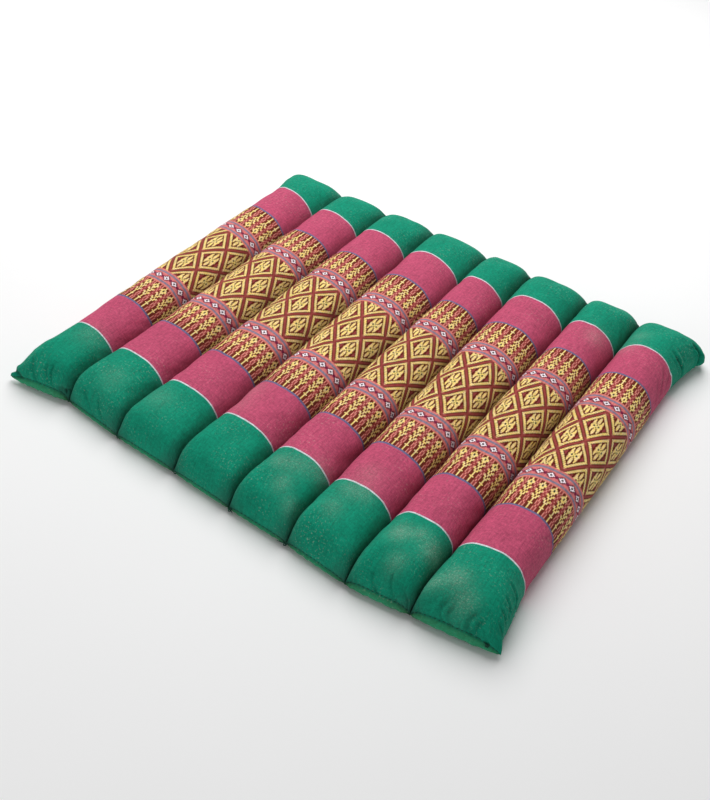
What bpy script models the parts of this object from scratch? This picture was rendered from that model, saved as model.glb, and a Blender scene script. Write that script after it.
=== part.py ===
"""Flat meditation cushion: one filled cloth solid of eight sewn tubes, side by side.

Frame: metres, +X across the tubes, +Y along them, +Z up. The origin is the middle of the
underside, on the surface that the cushion rests on.
"""
import math

import bmesh
import bpy
from mathutils import Vector

# Driving dimensions, metres
PITCH = 0.069            # width of one sewn tube
LENGTH = 0.492           # from end seam to end seam
CHANNEL_Z = 0.0110       # height of the sewn line between two tubes
WEB = 0.0024             # both cloths and the stitching, where a channel is sewn
DRAWN_IN_LEFT = 0.0065   # how far the left side is drawn in between its corners
DRAWN_IN_RIGHT = 0.0090  # the same on the right side
CORNER_REACH = 0.085     # length over which a side is drawn in, from its corner
UNDER_ROLL = 0.014       # length over which the underside turns up to the end seam
WEB_REACH = 0.010        # length over which a channel closes to nothing at the end seam
RESTING_SHARE = 0.42     # share of a tube's width that lies flat on the floor

# The two ends differ: the near one is blunt with a low seam, the far one is drawn flatter.
# Roll is the length over which a tube's top comes down to the seam, at its crown and at its
# sides, and drop is the same for a channel. Tip is the seam's height at a channel. The rest
# are shapes, as below
ENDS = {
    # end: crown_roll, side_roll, drop, tip, bluntness, fullness
    "near": (0.046, 0.020, 0.014, 0.003, 0.52, 4.2),
    "far": (0.055, 0.045, 0.024, 0.012, 0.58, 3.2),
}

# The four corners, where the cloth is pulled into an ear. Ear is how far it stands out and
# reach is its length along the side. Fullness is that of the outer side's section there
CORNERS = {
    # side, end: ear, reach, fullness
    ("left", "near"): (0.0085, 0.014, 2.0),
    ("left", "far"): (0.0030, 0.016, 4.0),
    ("right", "near"): (0.0050, 0.012, 3.0),
    ("right", "far"): (0.0025, 0.016, 3.0),
}
EAR_SHARE = 8            # higher keeps an ear closer to the side seam

# Shapes of the rounded forms. A higher fullness is squarer, a higher bluntness is leaner.
# Towards the far end the tubes are rounder and their crowns lean to the left
NEAR_FULLNESS = 2.8
FAR_FULLNESS = 2.2
ROLL_FULLNESS = 2.2
CHANNEL_BLUNTNESS = 0.80
UNDER_BLUNTNESS = 1.5
CROWN_LEAN = 0.13        # at the far end, as a share of half the tube's width

# Faces of the mesh
COLUMNS = 12             # across each tube
EVEN_COLUMNS = 0.25      # 0 crowds the columns at the channels, 1 spaces them evenly
END_ZONE = 0.075         # length at each end where the form changes, with closer rows
END_ROWS = 9
END_CROWDING = 1.7
MIDDLE_ROWS = 9

# The sewn lines from the left side to the right side. How far each one lies from its even
# place at its near and far end, in millimetres
CHANNELS = (
    # near_x, far_x, near_y, far_y
    (2.5, -5.0, 0.0, -1.0),
    (-2.0, 3.0, 10.0, -1.5),
    (0.0, -0.5, 3.0, 0.0),
    (4.5, -3.0, 1.0, 4.0),
    (4.5, 5.5, -2.5, 0.5),
    (2.0, -5.5, -4.0, 1.0),
    (-1.0, 1.5, -8.5, -1.0),
    (-8.5, -3.5, -1.5, -1.5),
    (-0.5, 4.0, 9.0, 0.0),
)

# The tubes from left to right, in millimetres: crown height, height of the end seams at
# mid-tube, and how far the cloth under each seam stands out
TUBES = (
    # crown, near_seam, far_seam, near_swell, far_swell
    (45.0, 12.0, 14.0, 3.5, 2.0),
    (43.0, 6.0, 14.0, 1.0, 2.0),
    (42.0, 6.5, 15.0, 1.0, 2.0),
    (42.0, 6.5, 15.0, 1.0, 2.0),
    (43.0, 6.5, 15.0, 1.0, 2.0),
    (44.0, 7.0, 14.0, 1.5, 2.0),
    (45.5, 10.5, 15.0, 3.5, 2.0),
    (47.0, 12.5, 16.0, 4.0, 2.0),
)

# Main gathers that run back from the end seams. Across is -1 to 1 over the tube's width;
# depth and reach are millimetres
GATHERS = (
    # tube, end, across, depth, reach
    (0, "near", -0.30, 2.2, 26.0),
    (0, "near", 0.35, 1.8, 22.0),
    (1, "near", 0.30, 1.6, 18.0),
    (3, "near", -0.10, 1.4, 18.0),
    (5, "near", 0.35, 1.6, 18.0),
    (6, "near", -0.15, 1.6, 20.0),
    (7, "near", -0.15, 2.0, 26.0),
    (7, "near", 0.55, 2.4, 30.0),
    (0, "far", 0.20, 1.6, 20.0),
    (2, "far", 0.55, 1.6, 22.0),
    (4, "far", -0.30, 1.4, 18.0),
    (6, "far", 0.15, 1.6, 20.0),
    (7, "far", 0.35, 2.2, 28.0),
)
GATHER_WIDTH = 0.16      # half width of a gather, as a share of half the tube's width

CLOTH_COLOUR = (0.055, 0.215, 0.130, 1.0)
CLOTH_ROUGHNESS = 0.85
MILLIMETRE = 0.001


def clamp(value):
    """Keep a share between 0 and 1."""
    return min(max(value, 0.0), 1.0)


def smooth(share):
    """Ease from 0 to 1 with a level start and end."""
    share = clamp(share)
    return share * share * (3.0 - 2.0 * share)


def mix(first, second, share):
    return first + (second - first) * share


def row_shares():
    """Places along the tube, from 0 at the near seam to 1 at the far seam."""
    zone = END_ZONE / LENGTH
    near = [zone * (row / END_ROWS) ** END_CROWDING for row in range(END_ROWS)]
    middle = [mix(zone, 1.0 - zone, row / MIDDLE_ROWS) for row in range(MIDDLE_ROWS + 1)]
    far = [1.0 - share for share in reversed(near)]
    return near + middle + far


def column_places():
    """Places across a tube, from -1 at its left channel to 1 at its right one."""
    places = []
    for column in range(COLUMNS + 1):
        crowded = -math.cos(math.pi * column / COLUMNS)
        even = 2.0 * column / COLUMNS - 1.0
        places.append(mix(crowded, even, EVEN_COLUMNS))
    return places


def channel_point(channel, along):
    """Plan position of a sewn line, at a share of its length."""
    near_x, far_x, near_y, far_y = (value * MILLIMETRE for value in CHANNELS[channel])
    even_x = (channel - len(TUBES) / 2) * PITCH
    x = even_x + mix(near_x, far_x, along)
    y = mix(near_y - LENGTH / 2, far_y + LENGTH / 2, along)
    return x, y


def arch(across, along, end_fullness):
    """Height share of the upper section: 1 at the crown, 0 at the channels."""
    inside = smooth(min(along, 1.0 - along) * LENGTH / END_ZONE)
    fullness = mix(end_fullness, mix(NEAR_FULLNESS, FAR_FULLNESS, along), inside)
    leaned = across + CROWN_LEAN * along * inside * (1.0 - across * across)
    return math.sqrt(clamp(1.0 - abs(leaned) ** fullness))


def bowl(across):
    """Depth share of the lower section: 1 where it rests, 0 at the channels."""
    side = clamp((abs(across) - RESTING_SHARE) / (1.0 - RESTING_SHARE))
    return math.sqrt(1.0 - side * side)


def gather_depth(tube, end, across, from_end):
    """Depth of the gathers at a place on a tube's top."""
    depth = 0.0
    for row_tube, row_end, row_across, row_depth, reach in GATHERS:
        if (row_tube, row_end) != (tube, end):
            continue
        side = (across - row_across) / GATHER_WIDTH
        fade = 1.0 - smooth(from_end / (reach * MILLIMETRE))
        depth += row_depth * MILLIMETRE * math.exp(-side * side) * fade
    return depth


def section_point(tube, across, along):
    """Upper and lower points of one tube at a place across and along it."""
    end = "near" if along <= 0.5 else "far"
    from_end = min(along, 1.0 - along) * LENGTH
    crown, near_seam, far_seam, near_swell, far_swell = (v * MILLIMETRE for v in TUBES[tube])
    crown_roll, side_roll, channel_drop, tip_z, bluntness, end_fullness = ENDS[end]
    seam_z = near_seam if end == "near" else far_seam
    swell = -near_swell if end == "near" else far_swell

    # Plan position, with the outer sides drawn in and the underside swelling past the seam
    left_x, left_y = channel_point(tube, along)
    right_x, right_y = channel_point(tube + 1, along)
    x = mix(left_x, right_x, (across + 1.0) / 2)
    y = mix(left_y, right_y, (across + 1.0) / 2)
    drawn = smooth(from_end / CORNER_REACH)
    if tube == 0 and across < 0.0:
        ear, reach, end_fullness = CORNERS["left", end]
        ear *= 1.0 - smooth(from_end / reach)
        x += DRAWN_IN_LEFT * drawn * -across - ear * across ** EAR_SHARE
    if tube == len(TUBES) - 1 and across > 0.0:
        ear, reach, end_fullness = CORNERS["right", end]
        ear *= 1.0 - smooth(from_end / reach)
        x += ear * across ** EAR_SHARE - DRAWN_IN_RIGHT * drawn * across

    # Upper surface: crown and channel both roll down to the end seam
    rolled = clamp(from_end / mix(crown_roll, side_roll, across * across))
    roll = (1.0 - (1.0 - rolled) ** ROLL_FULLNESS) ** bluntness
    drop = smooth(from_end / channel_drop) ** CHANNEL_BLUNTNESS
    crown_z = mix(seam_z, crown, roll)
    channel_z = mix(tip_z, CHANNEL_Z, drop)
    rise = arch(across, along, end_fullness)
    upper_z = mix(channel_z, crown_z, rise)
    upper_z -= gather_depth(tube, end, across, from_end) * rise * smooth(roll * 2.0)

    # Lower surface: flat where it rests, and at the ends it swells out and up to the seam
    outer = (tube == 0 and across < -0.999) or (tube == len(TUBES) - 1 and across > 0.999)
    web = 0.0 if outer else WEB * smooth(from_end / WEB_REACH)
    under = clamp(from_end / UNDER_ROLL)
    seam_edge_z = mix(tip_z, seam_z, rise)
    resting_z = (channel_z - web) * (1.0 - bowl(across))
    lower_z = mix(seam_edge_z, resting_z, 1.0 - (1.0 - under) ** UNDER_BLUNTNESS)
    inward = 1.0 if end == "near" else -1.0
    tucked = from_end - UNDER_ROLL * under ** 3 if under < 1.0 else 0.0
    under_y = y - inward * tucked + swell * rise * math.sin(math.pi * under)
    return Vector((x, y, upper_z)), Vector((x, under_y, lower_z))


def build_cushion():
    """One closed solid: an upper and a lower sheet that meet round the rim."""
    alongs = row_shares()
    columns = [(0, column_places()[0])]
    for tube in range(len(TUBES)):
        columns += [(tube, across) for across in column_places()[1:]]

    mesh = bmesh.new()
    upper, lower = [], []
    for index, (tube, across) in enumerate(columns):
        rim_side = index in (0, len(columns) - 1)
        upper_column, lower_column = [], []
        for row, along in enumerate(alongs):
            high, low = section_point(tube, across, along)
            upper_vertex = mesh.verts.new(high)
            rim = rim_side or row in (0, len(alongs) - 1)
            upper_column.append(upper_vertex)
            lower_column.append(upper_vertex if rim else mesh.verts.new(low))
        upper.append(upper_column)
        lower.append(lower_column)

    for index in range(len(columns) - 1):
        for row in range(len(alongs) - 1):
            here, there = upper[index], upper[index + 1]
            mesh.faces.new((here[row], there[row], there[row + 1], here[row + 1]))
            here, there = lower[index], lower[index + 1]
            mesh.faces.new((here[row], here[row + 1], there[row + 1], there[row]))

    # The middle of the underside goes to the origin
    xs = [vertex.co.x for vertex in mesh.verts]
    ys = [vertex.co.y for vertex in mesh.verts]
    middle = Vector(((min(xs) + max(xs)) / 2, (min(ys) + max(ys)) / 2, 0.0))
    bmesh.ops.translate(mesh, verts=mesh.verts, vec=-middle)

    data = bpy.data.meshes.new("cushion")
    mesh.to_mesh(data)
    mesh.free()
    data.shade_smooth()
    cushion = bpy.data.objects.new("cushion", data)
    bpy.context.scene.collection.objects.link(cushion)
    return cushion


def cloth_material():
    material = bpy.data.materials.new("cushion_cloth")
    material.use_nodes = True
    shader = material.node_tree.nodes["Principled BSDF"]
    shader.inputs["Base Color"].default_value = CLOTH_COLOUR
    shader.inputs["Roughness"].default_value = CLOTH_ROUGHNESS
    shader.inputs["Metallic"].default_value = 0.0
    return material


def main():
    for item in list(bpy.data.objects):
        bpy.data.objects.remove(item, do_unlink=True)
    cushion = build_cushion()
    cushion.data.materials.append(cloth_material())


main()
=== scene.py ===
"""Looks of the flat meditation cushion: eight stuffed tubes of banded woven cloth on a pale floor.

Frame: metres, +X across the tubes, +Y along them, +Z up, and the origin is the middle of the
underside, as in the CAD model. Cloth lengths whose names end in _MM are millimetres, because the
weave is worked out in them.
"""
import math
import random

import bpy
import numpy as np
from mathutils import Matrix, Vector

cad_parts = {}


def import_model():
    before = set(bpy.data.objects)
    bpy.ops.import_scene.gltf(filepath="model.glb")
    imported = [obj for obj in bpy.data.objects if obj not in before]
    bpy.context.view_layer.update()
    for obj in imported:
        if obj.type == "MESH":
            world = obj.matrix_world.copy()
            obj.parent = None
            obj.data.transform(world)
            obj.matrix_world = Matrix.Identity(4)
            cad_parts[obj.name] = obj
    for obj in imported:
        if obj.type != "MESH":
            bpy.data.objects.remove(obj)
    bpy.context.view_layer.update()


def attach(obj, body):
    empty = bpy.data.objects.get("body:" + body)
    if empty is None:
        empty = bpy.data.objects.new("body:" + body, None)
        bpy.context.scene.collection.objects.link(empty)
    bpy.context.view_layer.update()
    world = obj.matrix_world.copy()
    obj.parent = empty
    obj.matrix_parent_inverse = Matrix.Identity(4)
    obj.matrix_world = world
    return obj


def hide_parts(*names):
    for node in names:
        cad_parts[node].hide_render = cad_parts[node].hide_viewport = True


MILLIMETRE = 0.001
BODY = "root"

# Driving dimensions of the form, the same as the CAD model's
PITCH = 0.069            # width of one sewn tube
LENGTH = 0.492           # from end seam to end seam
CHANNEL_Z = 0.0110       # height of the sewn line between two tubes
WEB = 0.0024             # both cloths and the stitching, where a channel is sewn
DRAWN_IN_LEFT = 0.0065   # how far the left side is drawn in between its corners
DRAWN_IN_RIGHT = 0.0090  # the same on the right side
CORNER_REACH = 0.085     # length over which a side is drawn in, from its corner
UNDER_ROLL = 0.014       # length over which the underside turns up to the end seam
WEB_REACH = 0.010        # length over which a channel closes to nothing at the end seam
RESTING_SHARE = 0.42     # share of a tube's width that lies flat on the floor
EAR_SHARE = 8            # higher keeps an ear closer to the side seam
NEAR_FULLNESS = 2.8      # squareness of the section at the near end
FAR_FULLNESS = 2.2
ROLL_FULLNESS = 2.2
CHANNEL_BLUNTNESS = 0.80
UNDER_BLUNTNESS = 1.5
CROWN_LEAN = 0.13        # at the far end, as a share of half the tube's width
END_ZONE = 0.075         # length at each end where the section changes

ENDS = {
    # end: crown_roll, side_roll, drop, tip, bluntness, fullness
    "near": (0.046, 0.020, 0.014, 0.003, 0.52, 4.2),
    "far": (0.055, 0.045, 0.024, 0.012, 0.58, 3.2),
}
CORNERS = {
    # side, end: ear, reach, fullness
    ("left", "near"): (0.0085, 0.014, 2.0),
    ("left", "far"): (0.0030, 0.016, 4.0),
    ("right", "near"): (0.0050, 0.012, 3.0),
    ("right", "far"): (0.0025, 0.016, 3.0),
}
# The sewn lines, left to right: how far the ends lie from their even places, where the middle of
# the cloth's pattern crosses the line, all in millimetres, and how much the cloth is stretched
CHANNELS = (
    # near_x, far_x, near_y, far_y, pattern_y, stretch
    (2.5, -5.0, 0.0, -1.0, 6.7, 0.996),
    (-2.0, 3.0, 10.0, -1.5, 4.3, 0.988),
    (0.0, -0.5, 3.0, 0.0, 2.4, 0.995),
    (4.5, -3.0, 1.0, 4.0, 0.9, 1.007),
    (4.5, 5.5, -2.5, 0.5, -2.5, 1.002),
    (2.0, -5.5, -4.0, 1.0, -4.2, 1.003),
    (-1.0, 1.5, -8.5, -1.0, -3.2, 1.010),
    (-8.5, -3.5, -1.5, -1.5, -2.6, 0.996),
    (-0.5, 4.0, 9.0, 0.0, -1.6, 0.983),
)
# The tubes, left to right, in millimetres: crown height, height of the end seams at mid-tube,
# how far the cloth under each seam stands out, the place of a lattice node from mid-tube, and
# how far the white lines bow away at the crown
TUBES = (
    # crown, near_seam, far_seam, near_swell, far_swell, node, near_bow, far_bow
    (45.0, 12.0, 14.0, 3.5, 2.0, 1.0, -0.5, 0.0),
    (43.0, 6.0, 14.0, 1.0, 2.0, 1.2, 0.0, -1.2),
    (42.0, 6.5, 15.0, 1.0, 2.0, -12.8, 0.0, 1.2),
    (42.0, 6.5, 15.0, 1.0, 2.0, 15.2, 0.0, 2.6),
    (43.0, 6.5, 15.0, 1.0, 2.0, 7.4, 0.0, -2.2),
    (44.0, 7.0, 14.0, 1.5, 2.0, 9.8, 0.0, 3.0),
    (45.5, 10.5, 15.0, 3.5, 2.0, 0.8, 0.0, -0.8),
    (47.0, 12.5, 16.0, 4.0, 2.0, 0.5, 1.6, 0.5),
)
GATHERS = {
    # (tube, end): (across, depth, reach)
    (0, "near"): ((-0.30, 2.2, 26.0), (0.35, 1.8, 22.0)),
    (1, "near"): ((0.30, 1.6, 18.0),),
    (3, "near"): ((-0.10, 1.4, 18.0),),
    (5, "near"): ((0.35, 1.6, 18.0),),
    (6, "near"): ((-0.15, 1.6, 20.0),),
    (7, "near"): ((-0.15, 2.0, 26.0), (0.55, 2.4, 30.0)),
    (0, "far"): ((0.20, 1.6, 20.0),),
    (2, "far"): ((0.55, 1.6, 22.0),),
    (4, "far"): ((-0.30, 1.4, 18.0),),
    (6, "far"): ((0.15, 1.6, 20.0),),
    (7, "far"): ((0.35, 2.2, 28.0),),
}
GATHER_WIDTH = 0.16      # half width of a gather, as a share of half the tube's width
LAST_TUBE = len(TUBES) - 1
# What is known of each point of a tube's cloth
PLACE_NAMES = ("across", "from_near", "from_channel", "from_rim", "seam_run", "girth", "under")

# Mesh of a tube, before it is subdivided once
COLUMNS = 38             # on its upper sheet, and as many on the lower
EVEN_COLUMNS = 0.35      # 0 crowds the columns at the channels, 1 spaces them evenly
ROW_ZONE = 0.060         # length at each end with closer rows
END_ROWS = 26
END_CROWDING = 1.35
MIDDLE_ROWS = 88

# Small folds of the sewn cloth
SEED = 11
SEAM_GROOVE = 0.0008     # depth of the line that the end stitching presses in
GROOVE_WIDTH = 0.0012
GROOVE_WAVE = 0.4        # how uneven its depth is
STITCHED_WIDTH = 0.0006  # half width of the darker line where the cloth is sewn
SEAM_TOLERANCE = 1e-6    # how near a point must lie to an end seam to be on it
GAP_SHADE_WIDTH = 0.0085     # width of the painted shade in the gap where two tubes meet at an end
GAP_SHADE_REACH = 0.030
DARK_FOLD = 0.0026       # depth of a fold whose floor gets the full painted shade
CHANNEL_SHADE = (0.010, 0.030)      # the painted shade beside a channel: fullest and last distance
LEFT_SHADE = 0.6         # share of it on the left flank of a tube, which faces the light
BOUNCE_LIGHT_REACH = (0.007, 0.013)          # the same for the painted light below the near seam, from the end seam
GATHER_REACH = 0.022     # length of the longest fine gathers
LOWER_REACH = 0.35       # their length below the seam, as a share
FINE_GATHER = 0.0011     # half width of a fine gather
GATHER_ROOT = (0.002, 0.3)          # length over which they deepen, and the share they start with
# The fine gathers differ at random between these limits
GATHER_START = (0.001, 0.004)       # from the left channel
GATHER_SPACING = (0.003, 0.009)
GATHER_LENGTHS = (0.35, 1.0)        # shares of their reach
GATHER_WIDTHS = (0.8, 1.6)          # shares of their half width
GATHER_LEANS = (0.05, 0.40)
GATHER_STRENGTHS = (0.15, 1.0)      # shares of their depth
# Folds, puckers and slow unevenness
CREASE_LIP = 0.45        # height of the ridges beside a fold, as a share of its depth
CREASE_END = 2.5         # length over which a fold ends, in widths
PUCKER = 0.00055         # height of the puckers beside a channel
PUCKER_REACH = 0.006
PUCKER_START = 0.002
SOFT_WAVE = 0.00040      # slow unevenness of the stuffing
SOFT_START = 0.02        # length over which it grows from an end seam
BELLY_WAVE = 0.00050     # unevenness of the cloth just below the end seams
BELLY_PLACE = (0.007, 0.005)        # its middle and half length, from the seam
# How deep the fine gathers are on each tube, in millimetres
GATHER_DEPTHS = {
    "near": (0.75, 0.60, 0.30, 0.30, 0.35, 0.40, 0.80, 0.95),
    "far": (0.45, 0.40, 0.40, 0.40, 0.40, 0.40, 0.50, 0.60),
}
# Straight folds, as shares across the tube and millimetres from its end
CREASES = {
    # (tube, end): (across, from_end, to_across, to_from_end, depth, width)
    (7, "near"): (
        (0.72, 44.0, 0.90, 41.5, 1.0, 1.2), (0.90, 41.5, 0.95, 37.0, 1.3, 1.2),
        (0.95, 37.0, 0.97, 24.0, 1.1, 1.3), (0.76, 30.0, 0.89, 27.5, 0.9, 1.4),
        (0.89, 27.5, 0.93, 20.0, 0.9, 1.4), (0.80, 18.5, 0.93, 15.5, 0.9, 1.3),
        (0.88, 10.0, 0.95, 8.5, 0.8, 1.2), (0.54, 0.0, 0.50, 5.0, 1.1, 1.3),
        (0.39, 0.0, 0.31, 6.5, 1.3, 1.3), (-0.10, 0.0, -0.17, 5.0, 1.0, 1.2),
        (-0.24, 0.0, -0.34, 6.5, 1.1, 1.2), (0.75, 110.0, 0.93, 120.0, 0.5, 2.0)),
    (6, "near"): (
        (0.45, 0.5, 0.24, 7.0, 0.8, 1.3), (-0.16, 0.5, -0.24, 4.0, 0.7, 1.2),
        (0.84, 2.5, 0.66, 4.0, 0.7, 1.3)),
    (1, "near"): ((0.40, 0.5, 0.18, 5.5, 1.0, 1.2), (-0.16, 1.5, -0.33, 5.0, 0.7, 1.4)),
    (0, "near"): (
        (0.75, 0.3, 0.93, 2.0, 1.2, 1.1), (0.93, 2.0, 0.98, 6.0, 1.2, 1.1),
        (0.52, 0.3, 0.29, 9.0, 1.0, 1.3), (0.29, 1.0, 0.10, 8.5, 0.9, 1.3),
        (-0.27, 2.0, -0.46, 10.0, 0.8, 1.3), (-0.80, 0.5, -0.98, 4.5, 1.9, 1.6)),
    (7, "far"): (
        (0.58, 58.5, 0.78, 58.0, 0.9, 1.7), (0.78, 58.0, 0.93, 55.5, 1.3, 1.8),
        (0.93, 55.5, 1.00, 55.0, 1.3, 1.8), (0.64, 50.0, 0.86, 48.5, 0.5, 1.5),
        (0.60, 66.0, 0.92, 63.5, 0.5, 1.6), (0.82, 21.0, 0.93, 20.5, 2.4, 1.9),
        (0.93, 20.5, 1.00, 19.5, 4.0, 2.2), (0.72, 33.5, 0.84, 24.5, 0.4, 1.5),
        (0.70, 92.0, 0.92, 108.0, 0.9, 2.2), (0.86, 84.0, 0.98, 98.0, 0.8, 2.2),
        (0.78, 112.0, 0.94, 124.0, 0.6, 2.2)),
}
# The far right corner, with a knob of bunched cloth and its tip turned in
CORNER_SHARES = (0.80, 0.20)        # where it starts across the tube, and its width, as shares
KNOB = (0.0052, 0.0130, 0.0036)     # how far it stands out, its place and its half length
KNOB_TIP = (0.0042, 0.008)          # how far the tip is turned in, and over what length
# Pale scuffs on the upper sheet, as shares across the tube and millimetres from the near end
SCUFFS = {
    # tube: (across, from_near, radius, strength)
    0: ((0.35, 62.0, 16.0, 0.35),),
    1: ((0.10, 30.0, 14.0, 0.30),),
    2: ((-0.40, 40.0, 14.0, 0.35),),
    3: ((-0.82, 112.0, 16.0, 0.50), (-0.59, 84.0, 14.0, 0.35)),
    4: (
        (-0.34, 48.0, 9.0, 0.60), (0.12, 54.0, 12.0, 0.50), (0.72, 65.0, 12.0, 0.60),
        (0.16, 29.0, 9.0, 0.55), (0.70, 16.0, 8.0, 0.45)),
    5: (
        (-0.20, 60.0, 11.0, 0.55), (0.21, 65.0, 10.0, 0.50), (-0.08, 86.0, 12.0, 0.45),
        (-0.25, 34.0, 10.0, 0.45)),
    6: (
        (-0.30, 45.0, 10.0, 1.00), (0.17, 52.0, 8.0, 0.60), (0.75, 44.0, 11.0, 0.95),
        (0.11, 18.0, 9.0, 0.55), (0.30, 402.0, 13.0, 0.75)),
    7: (
        (-0.42, 26.0, 10.0, 0.85), (0.00, 12.0, 9.0, 0.70), (-0.77, 16.0, 7.0, 0.60),
        (-0.75, 410.0, 12.0, 0.45), (-0.60, 436.0, 10.0, 0.45)),
}

# Sewing thread
THREAD = 0.0006
SEAM_STITCH = (0.0027, 0.0016)      # length of a stitch and gap to the next
CHANNEL_STITCH = (0.0042, 0.0015)
SEAM_RISE = -0.1         # height of a stitch's ends above the cloth, in threads
CHANNEL_RISE = 0.3
STITCH_BOW = 0.7         # how much higher its middle is
STITCH_SPACING = (0.92, 1.08)       # how uneven the spacing is
STITCH_SIDES = 6
STITCH_RINGS = 4
# Knots where a seam was closed: place along the near seam in tubes, size of the knot, how far
# its tail reaches to the side, and how far it hangs, in millimetres
KNOTS = (
    # place, size, tail_side, tail_drop
    (2.0, 1.9, 3.0, 2.0),
    (3.0, 2.7, -3.5, 2.5),
    (4.0, 2.0, 4.0, 2.0),
    (5.0, 2.2, -8.0, 1.5),
    (7.82, 2.0, 2.5, 4.0),
)
KNOT_THREAD = 0.0010     # several strands together
KNOT_PLACE = 0.9         # how far a knot stands out from the seam, as a share of its size
KNOT_REACH = 0.3         # how far a knot reaches below its middle, as a share of its size
THREAD_TAPER = (0.45, 6.0)          # thickness of a thread's end, as a share, and how fast it grows

# Simulated stuffing
PRESSURE = 4.0
SPARE_CLOTH = -0.03      # the cloth is this much larger than the form, so that it puckers
SIMULATED_FRAMES = 20
PINNED_REACH = 0.006     # how far from a seam the cloth is held
MOVE_SHARE = 0.30        # share of the simulated move that the cloth takes
MOVE_CAP = 0.0012        # the furthest that a point may move
EVEN_REACH = 0.030       # length at each end over which less of the even swelling is taken out
RESTING_HOLD = 0.004     # height below which the underside is held
CLOTH_SETTINGS = {
    "quality": 5, "mass": 0.3, "tension_stiffness": 15.0, "compression_stiffness": 15.0,
    "shear_stiffness": 5.0, "bending_stiffness": 0.3, "use_pressure": True,
    "uniform_pressure_force": PRESSURE, "shrink_min": SPARE_CLOTH, "shrink_max": SPARE_CLOTH,
    "vertex_group_mass": "held", "pin_stiffness": 1.0,
}

# Cloth: the woven bands, from the middle of the cloth to either end
REPEAT_MM = 34.4         # width of a lattice diamond
HALF_REPEAT = 12.0       # cells from the middle of a diamond to its side
CELL_MM = REPEAT_MM / (2 * HALF_REPEAT)
LATTICE_ROW_MM = 2.15
BORDER_ROW_MM = 1.35
TREE_ROW_MM = 1.5
LATTICE_END_MM = 51.9
BORDER_MIDDLE_MM = 62.9
TREE_START_MM = 73.9
TREE_END_MM = 114.5
BLUE_END_MM = 116.8
MAGENTA_END_MM = 173.6
WHITE_END_MM = 175.2
BORDER_STEPS_MM = (4.4, 5.9, 8.5)  # outer edges of the ground, coral and grey stripes
# Places and sizes in the figures, in cells unless something else is said
OUTLINE_PLACE = 9.0      # the yellow outline, from the middle of its diamond
FLOAT_REACH = 1.30       # half length of an outline float
FLOAT_ROUNDING = 1.00    # how much shorter it is at its long edges
FLOAT_GAP = 0.50         # how much of the ground shows between two rows of yellow floats
GAP_EDGES = (0.30, 0.46)  # where the gap begins and is full, from a row's middle, in rows
EDGE_BAND = (6.4, 10.6)  # the brown steps beside the outline
HEART_REACH = 7.4
EYE_PLACE = 1.6          # the flower's two dark eyes, from its middle
EYE_REACH = 0.78
TIP_ROW = 10             # the salmon tips between two diamonds
HALF_TREE = 4.0          # half the spacing of the trees and of the border's diamonds
STEM_COLUMN = 3          # the first of the two columns with salmon stems, from a tree's middle
STRAND_REACH = 0.37      # half width of a salmon stem
TREE_EYE_ROWS = (2.5, 4.5)          # the dark middle of a tree's crown
BORDER_REACHES = (4.4, 3.4, 2.4)    # the wine ring, the dark ring and the white diamond
BORDER_EYE_MM = 1.5
WANDER_MM = 1.6          # how far the bands wander along the cloth
THREAD_SPACING_MM = 0.9
PATTERN_SHIFT = 240      # cells from one tube's cloth to the next, a whole number of repeats
# How strongly the yarn, the figures, the wear and the shade show
YARN_UNEVENNESS = (0.45, 0.66, 0.85, 0.95, 0.42)    # across, along, crossings, mottle, patches
SCUFF_SHARE = 0.52
SCUFF_HAZE = 0.20        # the least of a scuff, between its flecks
LINT_SHARE = 0.28
SEWN_SHARE = 0.36
CHANNEL_SHADE_SHARE = 0.34     # how strongly the painted shade covers the cloth beside a channel
# How strongly the painted light below the near seam shows
BOUNCE_LIGHT_SHARE = 0.36
STEM_SHARE = 0.90
TIP_SHARE = 0.45
GLOSS = (0.12, 0.72)     # of the cloth, and of the pale figures, whose yarn is smoother
FOLD_SHADE = 0.80        # how much the painted shade darkens the floor of a deep fold and the gap between tubes

# Charts of the woven figures, one thread group a sign, and half of one for the flower. Each row
# runs outwards from the figure's middle column, and the rows run outwards from its middle, or for
# the tree from its crown
FLOWER = "##..#### .######. #..####. ##..###. ##..##.. ##...... #.......".split()
FLOWER_DOTS = ".# #. .#".split()
FLOWER_EDGE = "....# ....# ....# .#.#. .#.#. .#... .#... #....".split()
TREE = (
    "#.. #.. ##. .## .## ##. ##. #.. #.# .## .#. ##. #.. #.# "
    ".## .#. ##. #.. #.. #.. #.. ##. #.. #.. #.. #.. #..").split()
# Salmon threads between two trees
STEMS = (
    "#. #. #. .# #. #. .# .# #. #. .. .# .. #. "
    "#. .# .# ## #. #. #. .# .# #. #. #. #.").split()


def srgb(red, green, blue):
    """Linear colour of an 8-bit screen colour."""
    def linear(value):
        value /= 255.0
        return value / 12.92 if value <= 0.04045 else ((value + 0.055) / 1.055) ** 2.4
    return (linear(red), linear(green), linear(blue), 1.0)


GREEN = srgb(6, 141, 111)
MAGENTA = srgb(192, 80, 112)
BROWN_RED = srgb(156, 66, 62)
HEART_RED = srgb(150, 60, 62)       # inside a diamond
EDGE_BROWN = srgb(98, 28, 8)        # the steps beside yellow floats
OLIVE = srgb(158, 138, 48)
EYE = srgb(26, 20, 2)
TREE_RED = srgb(158, 62, 60)
TRUNK_RED = srgb(112, 42, 26)       # beside the yellow of a tree
YELLOW = srgb(255, 225, 118)
CREAM = srgb(255, 229, 162)
SALMON = srgb(228, 142, 126)
BORDER_RED = srgb(218, 116, 118)
BORDER_DARK = srgb(78, 10, 34)
BORDER_WINE = srgb(176, 76, 90)     # around a white diamond's dark ring
BORDER_PLUM = srgb(128, 34, 76)
BORDER_EYE = srgb(20, 10, 18)
BORDER_WHITE = srgb(255, 242, 248)
CORAL = srgb(214, 122, 116)
ROSE = srgb(218, 122, 112)
STRIPE_GREY = srgb(134, 122, 144)
BLUE = srgb(110, 106, 142)
WHITE = srgb(212, 214, 220)
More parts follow.
